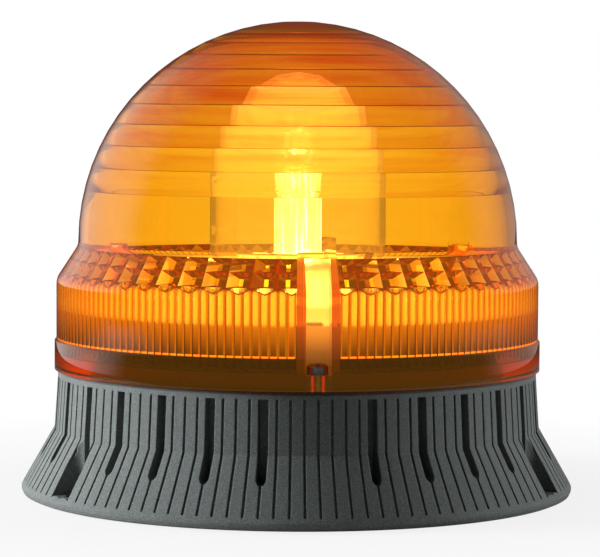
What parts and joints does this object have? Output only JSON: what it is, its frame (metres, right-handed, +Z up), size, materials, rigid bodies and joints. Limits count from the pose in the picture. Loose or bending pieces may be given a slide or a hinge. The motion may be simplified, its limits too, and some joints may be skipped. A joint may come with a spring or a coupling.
{
  "type": "led strobe beacon",
  "caption": "Amber domed strobe beacon with ringed and ribbed lens, captive lens screws and a grey flared base with mounting wells and a cable inlet underneath.",
  "frame": {"origin": "middle of the mounting face", "axes": "+Z up through the dome, -Y towards the front lens screw"},
  "size_m": [0.15, 0.15, 0.1278],
  "materials": {
    "housing_plastic": "fine sparked texture",
    "foam_rubber": "soft foam",
    "black_rubber": "moulded rubber",
    "brass": "turned",
    "circuit_board": "solder mask",
    "screw_steel": "plated",
    "terminal_plastic": "moulded",
    "capacitor_sleeve": "shrink sleeve",
    "winding": "enamelled wire",
    "chip_black": "moulded",
    "white_plastic": "smooth white",
    "sink_aluminium": "extruded",
    "white_board": "white mask on metal core",
    "emitter_yellow": "phosphor",
    "clear_tube": "clear",
    "clear_cover": "clear",
    "lead_red": "insulated wire",
    "amber_lens": "clear amber, smooth outside, prisms inside",
    "washer_nylon": "natural nylon"
  },
  "bodies": {
    "base": {"base_housing": "housing_plastic", "mounting_gasket": "foam_rubber", "cable_grommet": "black_rubber", "lens_gasket": "black_rubber", "screw_inserts": "brass", "standoffs": "brass", "driver_board": "circuit_board", "board_screws": "screw_steel", "terminal_block": "terminal_plastic", "terminal_screws": "screw_steel", "bulk_capacitor": "capacitor_sleeve", "choke": "winding", "bridge_rectifier": "chip_black", "fuse": "chip_black", "controller_chip": "chip_black", "power_transistor": "chip_black", "reflector_plate": "white_plastic", "reflector_screws": "screw_steel", "heat_sink": "sink_aluminium", "led_board": "white_board", "led_emitters": "emitter_yellow", "light_tube": "clear_tube", "inner_cover": "clear_cover", "cover_ring": "white_plastic", "led_leads": "lead_red"},
    "lens": {"lens": "amber_lens"},
    "washer_front": {"screw_washer_front": "washer_nylon"},
    "screw_front": {"lens_screw_front": "screw_steel"},
    "washer_right": {"screw_washer_right": "washer_nylon"},
    "screw_right": {"lens_screw_right": "screw_steel"},
    "washer_left": {"screw_washer_left": "washer_nylon"},
    "screw_left": {"lens_screw_left": "screw_steel"}
  },
  "joints": [
    {"name": "lens_lift", "type": "slide", "parent": "base", "child": "lens", "axis": [0, 0, 1], "range_m": [0, 0.1]},
    {"name": "screw_front_rise", "type": "slide", "parent": "lens", "child": "washer_front", "axis": [0, 0, 1], "range_m": [0, 0.0075]},
    {"name": "screw_front_turn", "type": "hinge", "parent": "washer_front", "child": "screw_front", "pos_m": [0, -0.0622, 0.038], "axis": [0, 0, 1], "range_deg": [0, 5401]},
    {"name": "screw_right_rise", "type": "slide", "parent": "lens", "child": "washer_right", "axis": [0, 0, 1], "range_m": [0, 0.0075]},
    {"name": "screw_right_turn", "type": "hinge", "parent": "washer_right", "child": "screw_right", "pos_m": [0.05387, 0.0311, 0.038], "axis": [0, 0, 1], "range_deg": [0, 5401]},
    {"name": "screw_left_rise", "type": "slide", "parent": "lens", "child": "washer_left", "axis": [0, 0, 1], "range_m": [0, 0.0075]},
    {"name": "screw_left_turn", "type": "hinge", "parent": "washer_left", "child": "screw_left", "pos_m": [-0.05387, 0.0311, 0.038], "axis": [0, 0, 1], "range_deg": [0, 5401]}
  ],
  "couplings": [
    {"joint": "screw_front_turn", "follows": "screw_front_rise", "rad_per_m": 12566},
    {"joint": "screw_right_turn", "follows": "screw_right_rise", "rad_per_m": 12566},
    {"joint": "screw_left_turn", "follows": "screw_left_rise", "rad_per_m": 12566}
  ]
}
